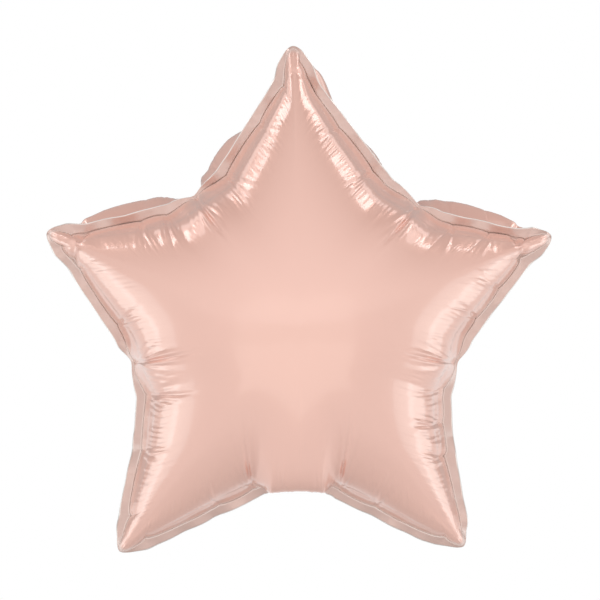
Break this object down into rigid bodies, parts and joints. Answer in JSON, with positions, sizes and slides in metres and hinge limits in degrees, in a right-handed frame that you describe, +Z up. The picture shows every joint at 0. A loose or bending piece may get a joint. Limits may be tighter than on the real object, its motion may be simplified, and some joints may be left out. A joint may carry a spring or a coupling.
{
  "type": "star foil balloon",
  "caption": "Five-pointed star foil balloon, filled, with a welded rim, a folding filling tail and a flap valve inside.",
  "frame": {"origin": "middle of the neck, where the tail leaves the welded seam in the bottom notch", "axes": "+Z up through the star's middle, front face towards -Y, +X to the right seen from the front"},
  "size_m": [0.4547, 0.1568, 0.4588],
  "materials": {
    "foil": "satin rose-gold metallised film",
    "foil_rim": "satin rose-gold metallised film, heat sealed",
    "valve_film": "clear polyethylene film",
    "release_print": "matt heat-proof print"
  },
  "bodies": {
    "envelope": {"front_panel": "foil", "rear_panel": "foil", "seal_rim": "foil_rim"},
    "tail": {"tail_front_film": "foil", "tail_rear_film": "foil", "valve_mouth_front": "valve_film", "valve_mouth_rear": "valve_film", "release_strip": "release_print"},
    "front_leaf": {"valve_leaf_front": "valve_film"},
    "rear_leaf": {"valve_leaf_rear": "valve_film"}
  },
  "joints": [
    {"name": "tail_fold", "type": "hinge", "parent": "envelope", "child": "tail", "pos_m": [0, 0, -0.0018], "axis": [-1, 0, 0], "range_deg": [0, 175]},
    {"name": "front_leaf_open", "type": "hinge", "parent": "envelope", "child": "front_leaf", "pos_m": [0, -0.00022, 0.001], "axis": [1, 0, 0], "range_deg": [0, 8], "stiffness_Nm_per_rad": 0.003},
    {"name": "rear_leaf_open", "type": "hinge", "parent": "envelope", "child": "rear_leaf", "pos_m": [0, 0.00022, 0.001], "axis": [1, 0, 0], "range_deg": [-8, 0], "stiffness_Nm_per_rad": 0.003}
  ],
  "couplings": [
    {"joint": "rear_leaf_open", "follows": "front_leaf_open", "ratio": -1}
  ]
}
